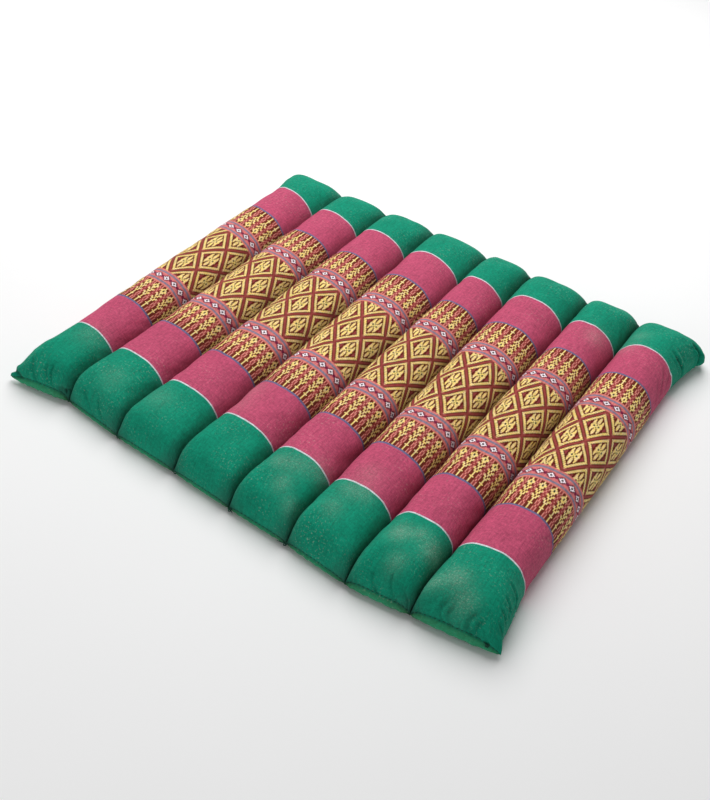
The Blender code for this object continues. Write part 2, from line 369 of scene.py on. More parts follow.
LINT = srgb(222, 224, 206)
CHANNEL_SHADE_GREY = srgb(52, 50, 54)     # painted shade beside a channel
BOUNCE_LIGHT_GREEN = srgb(84, 166, 104)      # painted light of the pale floor on the cloth just below the near seam
THREAD_COLOUR = srgb(16, 58, 48)
THREAD_LIGHT = srgb(40, 92, 74)
FLOOR_WHITES = ((0.91, 0.91, 0.91, 1.0), (0.94, 0.94, 0.94, 1.0))


def linked(name, data):
    """A new object in the scene."""
    made = bpy.data.objects.new(name, data)
    bpy.context.scene.collection.objects.link(made)
    return made


# Form

def smooth(share):
    """Ease from 0 to 1 with a level start and end."""
    share = np.clip(share, 0.0, 1.0)
    return share * share * (3.0 - 2.0 * share)


def mix(first, second, share):
    return first + (second - first) * share


def channel_point(channel, along):
    """Plan position of a sewn line, at shares of its length."""
    near_x, far_x, near_y, far_y = (value * MILLIMETRE for value in CHANNELS[channel][:4])
    even_x = (channel - len(TUBES) / 2) * PITCH
    x = even_x + mix(near_x, far_x, along)
    y = mix(near_y - LENGTH / 2, far_y + LENGTH / 2, along)
    return x, y


def arch(across, along, end_fullness):
    """Height share of the upper section: 1 at the crown, 0 at the channels."""
    inside = smooth(np.minimum(along, 1.0 - along) * LENGTH / END_ZONE)
    fullness = mix(end_fullness, mix(NEAR_FULLNESS, FAR_FULLNESS, along), inside)
    leaned = across + CROWN_LEAN * along * inside * (1.0 - across * across)
    return np.sqrt(np.clip(1.0 - np.abs(leaned) ** fullness, 0.0, 1.0))


def bowl(across):
    """Depth share of the lower section: 1 where it rests, 0 at the channels."""
    side = np.clip((np.abs(across) - RESTING_SHARE) / (1.0 - RESTING_SHARE), 0.0, 1.0)
    return np.sqrt(1.0 - side * side)


def gather_depth(tube, end, across, from_end):
    """Depth of the main gathers at places on a tube's top."""
    depth = np.zeros(np.broadcast(across, from_end).shape)
    for row_across, row_depth, reach in GATHERS.get((tube, end), ()):
        side = (across - row_across) / GATHER_WIDTH
        fade = 1.0 - smooth(from_end / (reach * MILLIMETRE))
        depth = depth + row_depth * MILLIMETRE * np.exp(-side * side) * fade
    return depth


def half_sheets(tube, across, along, end):
    """Upper and lower points of the near or far half of a tube."""
    from_end = np.minimum(along, 1.0 - along) * LENGTH
    crown, near_seam, far_seam, near_swell, far_swell = TUBES[tube][:5]
    crown_roll, side_roll, channel_drop, tip_z, bluntness, end_fullness = ENDS[end]
    seam_z = (near_seam if end == "near" else far_seam) * MILLIMETRE
    swell = (-near_swell if end == "near" else far_swell) * MILLIMETRE

    # Plan position, with the outer sides drawn in
    left_x, left_y = channel_point(tube, along)
    right_x, right_y = channel_point(tube + 1, along)
    x = mix(left_x, right_x, (across + 1.0) / 2)
    y = mix(left_y, right_y, (across + 1.0) / 2)
    drawn = smooth(from_end / CORNER_REACH)
    fullness = np.full(across.shape, end_fullness)
    for side, side_tube, sign, draw in (("left", 0, -1.0, DRAWN_IN_LEFT),
                                        ("right", LAST_TUBE, 1.0, DRAWN_IN_RIGHT)):
        if tube != side_tube:
            continue
        outward = np.clip(across * sign, 0.0, 1.0)
        ear, reach, corner_fullness = CORNERS[side, end]
        ear = ear * (1.0 - smooth(from_end / reach))
        x = x + sign * (ear * outward ** EAR_SHARE - draw * drawn * outward)
        fullness = np.where(outward > 0.0, corner_fullness, fullness)

    # Upper surface: crown and channel both roll down to the end seam
    rolled = np.clip(from_end / mix(crown_roll, side_roll, across * across), 0.0, 1.0)
    roll = (1.0 - (1.0 - rolled) ** ROLL_FULLNESS) ** bluntness
    drop = smooth(from_end / channel_drop) ** CHANNEL_BLUNTNESS
    crown_z = mix(seam_z, crown * MILLIMETRE, roll)
    channel_z = mix(tip_z, CHANNEL_Z, drop)
    rise = arch(across, along, fullness)
    upper_z = mix(channel_z, crown_z, rise)
    upper_z = upper_z - gather_depth(tube, end, across, from_end) * rise * smooth(roll * 2.0)

    # Lower surface: flat where it rests, and at the ends it swells out and up to the seam
    outer = ((tube == 0) & (across < -0.999)) | ((tube == LAST_TUBE) & (across > 0.999))
    web = np.where(outer, 0.0, WEB * smooth(from_end / WEB_REACH))
    under = np.clip(from_end / UNDER_ROLL, 0.0, 1.0)
    seam_edge_z = mix(tip_z, seam_z, rise)
    resting_z = (channel_z - web) * (1.0 - bowl(across))
    lower_z = mix(seam_edge_z, resting_z, 1.0 - (1.0 - under) ** UNDER_BLUNTNESS)
    inward = 1.0 if end == "near" else -1.0
    tucked = np.where(under < 1.0, from_end - UNDER_ROLL * under ** 3, 0.0)
    under_y = y - inward * tucked + swell * rise * np.sin(math.pi * under)
    return np.stack([x, y, upper_z], -1), np.stack([x, under_y, lower_z], -1)


def sheets(tube, across, along):
    """Upper and lower surfaces of a tube, as grids of points, across by along."""
    across, along = np.meshgrid(across, along, indexing="ij")
    near_upper, near_lower = half_sheets(tube, across, along, "near")
    far_upper, far_lower = half_sheets(tube, across, along, "far")
    near = (along <= 0.5)[..., None]
    return np.where(near, near_upper, far_upper), np.where(near, near_lower, far_lower)


def row_shares():
    """Places along a tube, from 0 at the near seam to 1 at the far seam."""
    zone = ROW_ZONE / LENGTH
    near = [zone * (row / END_ROWS) ** END_CROWDING for row in range(END_ROWS)]
    middle = [mix(zone, 1.0 - zone, row / MIDDLE_ROWS) for row in range(MIDDLE_ROWS + 1)]
    far = [1.0 - share for share in reversed(near)]
    return np.array(near + middle + far)


def column_places():
    """Places across a tube, from -1 at its left channel to 1 at its right one."""
    even = np.linspace(-1.0, 1.0, COLUMNS + 1)
    crowded = -np.cos(math.pi * (even + 1.0) / 2)
    return mix(crowded, even, EVEN_COLUMNS)


def plan_middle(grids):
    """Middle of the whole plan, which the CAD model puts at the origin."""
    points = np.concatenate([grid.reshape(-1, 3) for pair in grids for grid in pair])
    middle = (points.min(0) + points.max(0)) / 2
    return np.array([middle[0], middle[1], 0.0])


# Cloth coordinates

def run_lengths(points, axis):
    """Distance travelled along one axis of a grid of points, from its start."""
    steps = np.linalg.norm(np.diff(points, axis=axis), axis=-1)
    start = np.zeros_like(np.take(steps, [0], axis=axis))
    return np.concatenate([start, np.cumsum(steps, axis=axis)], axis=axis)


def cloth_places(tube, upper, lower, across, along):
    """Woven position of each point in millimetres: across from a lattice node, and along from
    the middle of the pattern."""
    middle_row = len(along) // 2
    middle_column = len(across) // 2
    node = TUBES[tube][5]
    shift = tube * PATTERN_SHIFT * CELL_MM
    upper_run = run_lengths(upper[:, middle_row:middle_row + 1], 0) / MILLIMETRE
    lower_run = run_lengths(lower[:, middle_row:middle_row + 1], 0) / MILLIMETRE
    u_upper = upper_run - upper_run[middle_column] - node
    u_lower = lower_run - lower_run[middle_column] - node
    if tube == 0:
        u_lower = u_upper[0] - lower_run
    if tube == LAST_TUBE:
        u_lower = u_upper[-1] + lower_run[-1] - lower_run
    places = []
    left, right = (np.array(CHANNELS[channel][4:])[:, None] for channel in (tube, tube + 1))
    pattern_y, stretch = mix(left, right, (across + 1.0) / 2)[..., None]
    near_bow, far_bow = TUBES[tube][6:]
    arc = (1.0 - across * across)[:, None]
    for sheet, u in ((upper, u_upper), (lower, u_lower)):
        run = run_lengths(sheet, 1) / MILLIMETRE
        middle_y = sheet[:, middle_row:middle_row + 1, 1] / MILLIMETRE
        v = run - run[:, middle_row:middle_row + 1] + middle_y - pattern_y
        bow = np.where(v < 0.0, near_bow, far_bow) * arc * np.abs(v) / WHITE_END_MM
        v = (v - bow) / stretch
        places.append(np.stack([np.broadcast_to(u, v.shape) + shift, v], -1))
    return places


# Mesh of one tube

def grid_order(tube):
    """Vertex numbers of the upper and lower sheets of a tube, which share their rim."""
    columns, rows = COLUMNS + 1, len(row_shares())
    upper = np.arange(columns * rows).reshape(columns, rows)
    lower = upper + columns * rows
    lower[:, 0] = upper[:, 0]
    lower[:, -1] = upper[:, -1]
    if tube == 0:
        lower[0] = upper[0]
    if tube == LAST_TUBE:
        lower[-1] = upper[-1]
    used, packed = np.unique([upper, lower], return_inverse=True)
    upper, lower = packed.reshape(2, columns, rows)
    return upper, lower, len(used)


def tube_mesh(tube, grids, places):
    """One closed mesh: upper sheet, lower sheet, and the webs along its inner channels."""
    upper, lower, count = grid_order(tube)
    points = np.zeros((count, 3))
    points[lower] = grids[1]
    points[upper] = grids[0]

    faces, woven, baked = [], [], []
    rows = upper.shape[1]

    def add(corners):
        """One face, from each corner's sheet, column, row, turn around the tube and woven sheet."""
        numbers = [int((upper, lower)[corner[0]][corner[1:3]]) for corner in corners]
        keep = [k for k, number in enumerate(numbers) if number not in numbers[:k]]
        if len(keep) < 3:
            return
        faces.append([numbers[k] for k in keep])
        for _, column, row, turn, cloth in (corners[k] for k in keep):
            woven.append(places[cloth][column, row])
            baked.append((turn / (2 * COLUMNS + 2), row / (rows - 1)))

    for column in range(COLUMNS):
        for row in range(rows - 1):
            cell = ((column, row), (column + 1, row), (column + 1, row + 1), (column, row + 1))
            add([(0, c, r, c, 0) for c, r in cell])
            add([(1, c, r, 2 * COLUMNS + 1 - c, 1) for c, r in cell[::-1]])
    for column, upper_turn, lower_turn, step, inner in (
            (0, 2 * COLUMNS + 2, 2 * COLUMNS + 1, 1, tube != 0),
            (COLUMNS, COLUMNS, COLUMNS + 1, -1, tube != LAST_TUBE)):
        for row in range(rows - 1 if inner else 0):
            web = [(0, column, row, upper_turn, 0), (0, column, row + 1, upper_turn, 0),
                   (1, column, row + 1, lower_turn, 0), (1, column, row, lower_turn, 0)]
            add(web[::step])

    data = bpy.data.meshes.new(f"tube_{tube + 1}")
    data.from_pydata([tuple(p) for p in points], [], faces)
    for name, values in (("cloth", woven), ("OFBake", baked)):
        layer = data.uv_layers.new(name=name)
        layer.data.foreach_set("uv", np.array(values, dtype=np.float32).ravel())
    data.shade_smooth()
    return data, upper, lower


def per_vertex(count, upper, lower, upper_values, lower_values):
    """One value a vertex from values given on the two sheets."""
    values = np.zeros(count)
    values[lower] = lower_values
    values[upper] = upper_values
    return values


def sheet_places(tube, grids, across, along):
    """Where the points of the upper and lower sheets lie on the sewn tube, by name."""
    shape = grids[0].shape[:2]
    found = {name: [] for name in PLACE_NAMES}
    for number, sheet in enumerate(grids):
        girth = run_lengths(sheet, 0)
        run = run_lengths(sheet, 1)
        left = PITCH if tube == 0 else girth
        right = PITCH if tube == LAST_TUBE else girth[-1:] - girth
        values = (across[:, None], along * LENGTH, np.minimum(left, right),
                  np.minimum(girth, girth[-1:] - girth), np.minimum(run, run[:, -1:] - run),
                  girth, float(number))
        for name, value in zip(PLACE_NAMES, values):
            found[name].append(np.broadcast_to(value, shape))
    return found


# Small folds

def waves(draw, lengths_mm):
    """A smooth uneven wave along a distance in metres, from about -1 to 1."""
    parts = []
    for length in lengths_mm:
        parts.append((2.0 * math.pi / (length * MILLIMETRE * draw.uniform(0.8, 1.25)),
                      draw.uniform(0.0, 2.0 * math.pi)))

    def wave(distance):
        return sum(np.sin(distance * turn + phase) for turn, phase in parts) / len(parts)
    return wave


def fold_profile(side):
    """Section of a fold, 1 deep at its middle with a low ridge on each side."""
    return np.exp(-side * side) - CREASE_LIP * np.exp(-(np.abs(side) - 2.0) ** 2)


def fine_gathers(draw, depth_mm, width, seam_run, under):
    """Depth of the thin gathers that run away from an end seam."""
    depth = np.zeros(len(width))
    root, root_share = GATHER_ROOT
    place = -PITCH / 2 + draw.uniform(*GATHER_START)
    while place < PITCH / 2:
        reach = GATHER_REACH * draw.uniform(*GATHER_LENGTHS)
        reach = reach * np.where(under > 0.5, LOWER_REACH, 1.0)
        half_width = FINE_GATHER * draw.uniform(*GATHER_WIDTHS)
        side = (width - place + draw.uniform(*GATHER_LEANS) * seam_run) / half_width
        fade = (1.0 - smooth(seam_run / reach)) * smooth(seam_run / root + root_share)
        depth += depth_mm * MILLIMETRE * draw.uniform(*GATHER_STRENGTHS) * fold_profile(side) * fade
        place += draw.uniform(*GATHER_SPACING)
    return depth


def creases(tube, from_near, girth, girth_at):
    """Depth of the straight folds on a tube's upper sheet."""
    depth = np.zeros(len(girth))
    rows = [(end, *row) for end in ENDS for row in CREASES.get((tube, end), ())]
    for end, across, from_end, to_across, to_from_end, fold_depth, fold_width in rows:
        ends = []
        for share, distance in ((across, from_end), (to_across, to_from_end)):
            y = distance * MILLIMETRE if end == "near" else LENGTH - distance * MILLIMETRE
            ends.append((girth_at(share, y), y))
        (x0, y0), (x1, y1) = ends
        length = math.hypot(x1 - x0, y1 - y0)
        along = ((girth - x0) * (x1 - x0) + (from_near - y0) * (y1 - y0)) / length
        side = ((girth - x0) * (y1 - y0) - (from_near - y0) * (x1 - x0)) / length
        reach = np.maximum(np.maximum(-along, along - length), 0.0)
        fade = np.exp(-(reach / (CREASE_END * fold_width * MILLIMETRE)) ** 2)
        depth += fold_depth * MILLIMETRE * fold_profile(side / (fold_width * MILLIMETRE)) * fade
    return depth


def small_folds(tube, place, girth_at):
    """Height of the sewn cloth above the smooth form of a tube, point by point, and how much
    painted shade each point gets, from 0 to 1: more the deeper it lies in a fold, and most in the
    gap where two tubes meet near an end seam."""
    draw = random.Random(SEED + tube)
    across, from_near, seam_run = place["across"], place["from_near"], place["seam_run"]
    from_channel, under = place["from_channel"], place["under"]
    width = across * PITCH / 2
    uneven = 1.0 + GROOVE_WAVE * waves(draw, (4.0, 7.0, 12.0))(width)
    groove = SEAM_GROOVE * uneven * np.exp(-(seam_run / GROOVE_WIDTH) ** 2)
    # dark is how much painted shade each point gets, deepest on the floors of folds
    height, dark = -groove, np.zeros(len(width))
    for end, there in (("near", from_near < LENGTH / 2), ("far", from_near >= LENGTH / 2)):
        depth = fine_gathers(draw, GATHER_DEPTHS[end][tube], width, seam_run, under)
        belly = waves(draw, (8.0, 13.0))(width) * BELLY_WAVE
        belly = belly * np.exp(-((seam_run - BELLY_PLACE[0]) / BELLY_PLACE[1]) ** 2) * under
        height = height + np.where(there, belly - depth, 0.0)
        dark = dark + np.where(there, np.maximum(depth, 0.0), 0.0)
    for sign in (-1.0, 1.0):
        wave = waves(draw, (8.0, 13.0, 22.0))(from_near)
        fade = np.exp(-from_channel / PUCKER_REACH) * smooth(from_channel / PUCKER_START)
        height = height + np.where(across * sign > 0.0, PUCKER * wave * fade, 0.0)
    slow = waves(draw, (34.0, 55.0))(from_near) * waves(draw, (25.0, 40.0))(place["girth"])
    height = height + SOFT_WAVE * slow * smooth(seam_run / SOFT_START)
    top = 1.0 - np.clip(under, 0.0, 1.0)
    depth = creases(tube, from_near, place["girth"], girth_at) * top
    dark = dark + np.maximum(depth, 0.0)
    # Painted shade in the gap where two tubes meet near an end seam
    gap_shade = np.exp(-(from_channel / GAP_SHADE_WIDTH) ** 2) * (1.0 - smooth(seam_run / GAP_SHADE_REACH))
    return height - depth, np.clip(np.maximum(dark / DARK_FOLD, gap_shade), 0.0, 1.0)


def scuff_strength(tube, place):
    """How worn the cloth is at each point."""
    worn = np.zeros(len(place["across"]))
    for across, from_near, radius, strength in SCUFFS.get(tube, ()):
        away = np.hypot((place["across"] - across) * PITCH / 2,
                        place["from_near"] - from_near * MILLIMETRE) / (radius * MILLIMETRE)
        worn += strength * np.exp(-away * away)
    return worn * (1.0 - np.clip(place["under"], 0.0, 1.0))


def turn_corner(points, place):
    """Make the far right corner a blunt knob of bunched cloth."""
    from_far = LENGTH - place["from_near"]
    start, width = CORNER_SHARES
    outward = smooth((place["across"] - start) / width)
    out, middle, reach = KNOB
    tip, tip_reach = KNOB_TIP
    points[:, 0] += out * outward * np.exp(-((from_far - middle) / reach) ** 2)
    points[:, 0] -= tip * outward * (1.0 - smooth(from_far / tip_reach))


# Simulation

def read_values(data, name, size=1):
    values = np.empty(len(data) * size)
    data.foreach_get(name, values)
    return values.reshape(-1, size) if size > 1 else values


def stuff(tube, piece, held, upper, lower):
    """Blow the tube up against its seams with the cloth simulation, and apply the result.

    The form already has the section of a stuffed tube, so the even swelling of each sheet is
    taken out again, and the folds and dents between the seams stay."""
    group = piece.vertex_groups.new(name="held")
    for index, weight in enumerate(held):
        if weight > 0.0:
            group.add([index], float(weight), "REPLACE")
    modifier = piece.modifiers.new("Cloth", "CLOTH")
    for name, value in CLOTH_SETTINGS.items():
        setattr(modifier.settings, name, value)
    modifier.settings.effector_weights.gravity = 0.0
    modifier.collision_settings.use_collision = False
    modifier.collision_settings.use_self_collision = False
    modifier.point_cache.frame_start = 1
    modifier.point_cache.frame_end = SIMULATED_FRAMES
    scene = bpy.context.scene
    for frame_number in range(1, SIMULATED_FRAMES + 1):
        scene.frame_set(frame_number)
    start = read_values(piece.data.vertices, "co", 3)
    graph = bpy.context.evaluated_depsgraph_get()
    shift = read_values(piece.evaluated_get(graph).data.vertices, "co", 3) - start
    piece.modifiers.remove(modifier)
    scene.frame_set(1)
    from_end = np.minimum(row_shares(), 1.0 - row_shares()) * LENGTH
    inside = smooth(from_end / EVEN_REACH)[None, :, None]
    for sheet in (upper, lower):
        even = shift[sheet][:, END_ROWS:-END_ROWS].mean(1, keepdims=True)
        shift[sheet] -= even * inside
    shift *= MOVE_SHARE
    length = np.linalg.norm(shift, axis=1, keepdims=True)
    shift *= MOVE_CAP / np.hypot(MOVE_CAP, length)
    length = np.linalg.norm(shift, axis=1) / MILLIMETRE
    print(f"stuffed tube {tube + 1}: moved {length.mean():.2f} mm, at most {length.max():.2f} mm")
    placed = start + shift
    placed[:, 2] = np.maximum(placed[:, 2], 0.0)
    piece.data.vertices.foreach_set("co", placed.ravel())
    piece.data.update()


def refine(piece):
    """Subdivide a tube's mesh once and keep the result."""
    name = piece.name
    subdivision = piece.modifiers.new("Subdivision", "SUBSURF")
    subdivision.levels = subdivision.render_levels = 1
    subdivision.uv_smooth = "NONE"
    graph = bpy.context.evaluated_depsgraph_get()
    refined = bpy.data.meshes.new_from_object(piece.evaluated_get(graph))
    piece.modifiers.clear()
    coarse = piece.data
    piece.data = refined
    bpy.data.meshes.remove(coarse)
    refined.name = name


def set_marks(data, marks):
    """Give each point of a mesh its values by name."""
    for name, values in marks.items():
        data.attributes.new(name, "FLOAT", "POINT").data.foreach_set("value", values)


def faded(distance, reach):
    """1 as far as the first distance of a reach, and 0 from the last."""
    return 1.0 - smooth((distance - reach[0]) / (reach[1] - reach[0]))


def fold_cloth(tube, piece, girth_at):
    """Press the seams, gathers, folds and puckers into a refined tube, and mark its wear, its sewn
    lines, its painted shade and its painted light.
    """
    data = piece.data
    place = {name: read_values(data.attributes[name].data, "value") for name in PLACE_NAMES}
    points = read_values(data.vertices, "co", 3)
    normals = read_values(data.vertices, "normal", 3)
    height, dark = small_folds(tube, place, girth_at)
    points += normals * height[:, None]
    if tube == LAST_TUBE:
        turn_corner(points, place)
    points[:, 2] = np.maximum(points[:, 2], 0.0)
    data.vertices.foreach_set("co", points.ravel())
    data.update()
    sewn = np.maximum(np.exp(-(place["seam_run"] / STITCHED_WIDTH) ** 2),
                      np.exp(-(place["from_channel"] / STITCHED_WIDTH) ** 2))
    near = place["from_near"] < LENGTH / 2
    # Painted shade beside the channels, less on the left flank, which faces the light
    painted_channel_shade = faded(place["from_channel"], CHANNEL_SHADE)
    painted_channel_shade = painted_channel_shade * np.where(place["across"] < 0.0, LEFT_SHADE, 1.0)
    # Painted light on the underside just below the near seam, as the pale floor throws it up
    bounce_light = faded(place["seam_run"], BOUNCE_LIGHT_REACH) * np.clip(place["under"], 0.0, 1.0) * near
    set_marks(data, {"sewn": sewn, "scuff": scuff_strength(tube, place), "dark": dark,
                     "painted_channel_shade": painted_channel_shade, "bounce_light": bounce_light})
    seams = {}
    normals = read_values(data.vertices, "normal", 3)
    for end, there in (("near", near), ("far", ~near)):
        index = np.flatnonzero((place["seam_run"] < SEAM_TOLERANCE) & there)
        index = index[np.argsort(place["across"][index])]
        seams[end] = (points[index], normals[index])
    for name in PLACE_NAMES:
        data.attributes.remove(data.attributes[name])
    return seams


def main_tubes():
    """The eight stuffed tubes. Gives their end seams and the sewn channels, as lines of points."""
    across, along = column_places(), row_shares()
    grids = [sheets(tube, across, along) for tube in range(len(TUBES))]
    middle = plan_middle(grids)
    material = khit_cloth()
    seams, channels = {"near": [], "far": []}, []
    for tube, pair in enumerate(grids):
        pair = [grid - middle for grid in pair]
        woven = cloth_places(tube, pair[0], pair[1], across, along)
        data, upper, lower = tube_mesh(tube, pair, woven)
        piece = linked(data.name, data)
        data.materials.append(material)
        places = sheet_places(tube, pair, across, along)
        set_marks(data, {name: per_vertex(len(data.vertices), upper, lower, *values)
                         for name, values in places.items()})
        held = []
        for from_rim, seam_run in zip(places["from_rim"], places["seam_run"]):
            held.append(1.0 - smooth(np.minimum(from_rim, seam_run) / PINNED_REACH))
        held[1] = np.maximum(held[1], 1.0 - smooth(pair[1][..., 2] / RESTING_HOLD))
        stuff(tube, piece, per_vertex(len(data.vertices), upper, lower, *held), upper, lower)
        refine(piece)
        girth = places["girth"][0]

        def girth_at(share, from_near):
            row = int(np.argmin(np.abs(along * LENGTH - from_near)))
            return float(np.interp(share, across, girth[:, row]))

        ends = fold_cloth(tube, piece, girth_at)
        for end in seams:
            seams[end].append(ends[end])
        if tube < LAST_TUBE:
            channels.append((pair[0][-1], pair[1][-1]))
        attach(piece, BODY)
        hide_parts("cushion")
    return seams, channels


# Thread

def strand(path, thickness):
    """Points and faces of a round thread along a path, thinner at its two ends."""
    path = np.asarray(path)
    ahead = np.gradient(path, axis=0)
    ahead /= np.linalg.norm(ahead, axis=1, keepdims=True)
    first = np.cross(ahead, (0.31, 0.52, 0.79))
    first /= np.linalg.norm(first, axis=1, keepdims=True)
    second = np.cross(ahead, first)
    share = np.linspace(0.0, 1.0, len(path))
    end_share, growth = THREAD_TAPER
    radius = thickness / 2 * np.minimum(1.0, end_share + growth * np.minimum(share, 1.0 - share))
    sides = STITCH_SIDES
    angle = (2.0 * math.pi * np.arange(sides) / sides)[:, None]
    around = first[:, None] * np.cos(angle) + second[:, None] * np.sin(angle)
    points = (path[:, None] + radius[:, None, None] * around).reshape(-1, 3)
    last = len(points) - sides
    faces = [tuple(reversed(range(sides))), tuple(range(last, len(points)))]
    for start in range(0, last, sides):
        for side in range(sides):
            after = (side + 1) % sides
            faces.append((start + side, start + after, start + sides + after, start + sides + side))
    return points, faces


def stitches(draw, line, outward, size, rise):
    """Paths of the stitches along a sewn line, each bowed a little out of the cloth."""
    length, gap = size
    run = np.concatenate([[0.0], np.cumsum(np.linalg.norm(np.diff(line, axis=0), axis=1))])
    paths = []
    place = gap
    while place + length < run[-1] - gap:
        along = np.linspace(place, place + length, STITCH_RINGS)
        centre, away = (np.stack([np.interp(along, run, points[:, axis]) for axis in range(3)], -1)
                        for points in (line, outward))
        bow = np.sin(np.linspace(0.0, math.pi, STITCH_RINGS))[:, None]
        paths.append(centre + away * (bow * THREAD * STITCH_BOW + rise))
        place += (length + gap) * draw.uniform(*STITCH_SPACING)
    return paths


def knot(centre, size, tail_side, tail_drop):
    """Path of an overhand knot with a tail that hangs over the end of the cushion."""
    turn = np.linspace(0.25, 2.0 * math.pi - 0.25, 30)
    loops = np.stack([np.sin(turn) + 2.0 * np.sin(2.0 * turn), -1.2 * np.sin(3.0 * turn),
                      np.cos(turn) - 2.0 * np.cos(2.0 * turn)], -1) * (size / 3.0)
    fall = np.linspace(0.15, 1.0, 7)[:, None]
    tail = loops[-1] + fall * (tail_side, -0.6, 0.0) - fall ** 2 * (0.0, 0.0, tail_drop)
    return centre + np.concatenate([loops, tail]) * MILLIMETRE


def thread_piece(name, paths, material, thickness=THREAD):
    """One piece of all the threads that run along a group of paths."""
    points, faces = [], []
    for path in paths:
        new_points, new_faces = strand(path, thickness)
        faces.extend(tuple(index + len(points) for index in face) for face in new_faces)
        points.extend(new_points)
    data = bpy.data.meshes.new(name)
    data.from_pydata([tuple(point) for point in points], [], faces)
    data.shade_smooth()
    data.materials.append(material)
    piece = linked(name, data)
    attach(piece, BODY)


def sewing(seams, channels):
    """Stitches along the end seams and channels, and the knots on the near seam."""
    draw = random.Random(SEED)
    material = thread_material()
    groups = [(f"{end}_seam_thread", lines, SEAM_STITCH, SEAM_RISE) for end, lines in seams.items()]
    for side, up, name in ((0, 1.0, "channel_thread_top"), (1, -1.0, "channel_thread_under")):
        lines = [(line[side], np.tile((0.0, 0.0, up), (len(line[side]), 1))) for line in channels]
        groups.append((name, lines, CHANNEL_STITCH, CHANNEL_RISE))
    for name, lines, size, rise in groups:
        paths = []
        for line, outward in lines:
            paths.extend(stitches(draw, line, outward, size, THREAD * rise))
        thread_piece(name, paths, material)
    paths = []
    for place, size, tail_side, tail_drop in KNOTS:
        line, outward = seams["near"][min(int(place), LAST_TUBE)]
        share = place - int(place)
        index = int(round(share * (len(line) - 1)))
        centre = line[index] + outward[index] * size * MILLIMETRE * KNOT_PLACE
        lowest = max(size, size * KNOT_REACH + tail_drop)
        centre[2] = max(centre[2], lowest * MILLIMETRE + KNOT_THREAD)
        paths.append(knot(centre, size, tail_side, tail_drop))
    thread_piece("seam_knots", paths, material, KNOT_THREAD)


# Materials

def feed(socket, value):
    """Link a value to a socket, or set a plain number or colour on it."""
    if isinstance(value, Value):
        socket.id_data.links.new(value.socket, socket)
    else:
        socket.default_value = value


def new_node(tree, kind, inputs, output=0, **settings):
    """One output of a new node, whose inputs are given by name or number."""
    node = tree.nodes.new(kind)
    for name, value in settings.items():
        setattr(node, name, value)
    for name, value in inputs.items():
        feed(node.inputs[name], value)
    return Value(node.outputs[output])


def operator(operation, swapped=False):
    """A method of Value that works out one number."""
    def method(self, *others):
        values = (*others, self) if swapped else (self, *others)
        return self.node("ShaderNodeMath", dict(enumerate(values)), operation=operation)
    return method


class Value:
    """One output of a node. Numbers take the usual operators, and comparing them gives 1 or 0."""
    __add__ = __radd__ = operator("ADD")
    __sub__ = operator("SUBTRACT")
    __rsub__ = operator("SUBTRACT", swapped=True)
    __mul__ = __and__ = operator("MULTIPLY")
    __truediv__ = operator("DIVIDE")
    __mod__ = operator("MODULO")
    __rpow__ = operator("POWER", swapped=True)
    __abs__ = operator("ABSOLUTE")
    __floor__ = operator("FLOOR")
    __round__ = operator("ROUND")
    __gt__ = operator("GREATER_THAN")
    __lt__ = operator("LESS_THAN")
    __or__ = at_least = operator("MAXIMUM")
    at_most = operator("MINIMUM")
    ping_pong = operator("PINGPONG")
    sine = operator("SINE")

    def __init__(self, socket):
        self.socket = socket

    def node(self, kind, inputs, output=0, **settings):
        """One output of a new node in the same material."""
        return new_node(self.socket.id_data, kind, inputs, output, **settings)

    def between(self, low, high):
        return (self > low) & (self < high)

    def mixed(self, first, second):
        """Number between two numbers, by this share."""
        return self.node("ShaderNodeMix", {0: self, 2: first, 3: second}, data_type="FLOAT")

    def soft_step(self, low, high):
        return self.node("ShaderNodeMapRange", {0: self, 1: low, 2: high},
                         interpolation_type="SMOOTHSTEP")

    def stretched(self, *scale):
        return self.node("ShaderNodeMapping", {"Vector": self, "Scale": scale})

    def noise(self, scale, detail=2.0, roughness=0.5):
        return self.node("ShaderNodeTexNoise", {
            "Vector": self, "Scale": scale, "Detail": detail, "Roughness": roughness}, "Fac")

    def bump(self, strength, distance):
        return self.node("ShaderNodeBump", {
            "Height": self, "Strength": strength, "Distance": distance})


def source(material, kind, output, **settings):
    """One output of a new node that has no inputs."""
    return new_node(material.node_tree, kind, {}, output, **settings)


def mark(material, name):
    """One of the values that fold_cloth gives to each point of a tube."""
    return source(material, "ShaderNodeAttribute", "Fac", attribute_name=name)


def new_material(name):
    material = bpy.data.materials.new(name)
    material.use_nodes = True
    return material


def finished(material, inputs):
    """Feed the material's own shader, and give the material back."""
    for name, value in inputs.items():
        feed(material.node_tree.nodes["Principled BSDF"].inputs[name], value)
    return material


def paint(share, under, over):
    """Colour over another colour, by a share."""
    return share.node("ShaderNodeMix", {0: share, 6: under, 7: over}, 2, data_type="RGBA")


def chart(rows, row, column):
    """1 where a chart has a sign at a row and column, else 0."""
    width = len(rows[0])
    found = row.node("ShaderNodeValToRGB", {0: (row + 0.5) / len(rows)})
    ramp = found.socket.node.color_ramp
    ramp.interpolation = "CONSTANT"
    for index, signs in enumerate(rows):
        bits = int(signs.replace("#", "1").replace(".", "0"), 2)
        value = (bits + 0.5) / 2 ** width
        stop = ramp.elements[index] if index < 2 else ramp.elements.new(index / len(rows))
        stop.position = index / len(rows)
        stop.color = (value, value, value, 1.0)
    shifted = found * 2.0 ** (column + 1.0)
    return math.floor(shifted) % 2.0 & (column < width - 0.5) & (row < len(rows) - 0.5)


def float_light(distance, row_mm):
    """How much of a yellow float covers the ground: less between two rows of the weave."""
    gap = (distance / row_mm).ping_pong(0.5).soft_step(*GAP_EDGES)
    return gap.mixed(1.0, 1.0 - FLOAT_GAP)


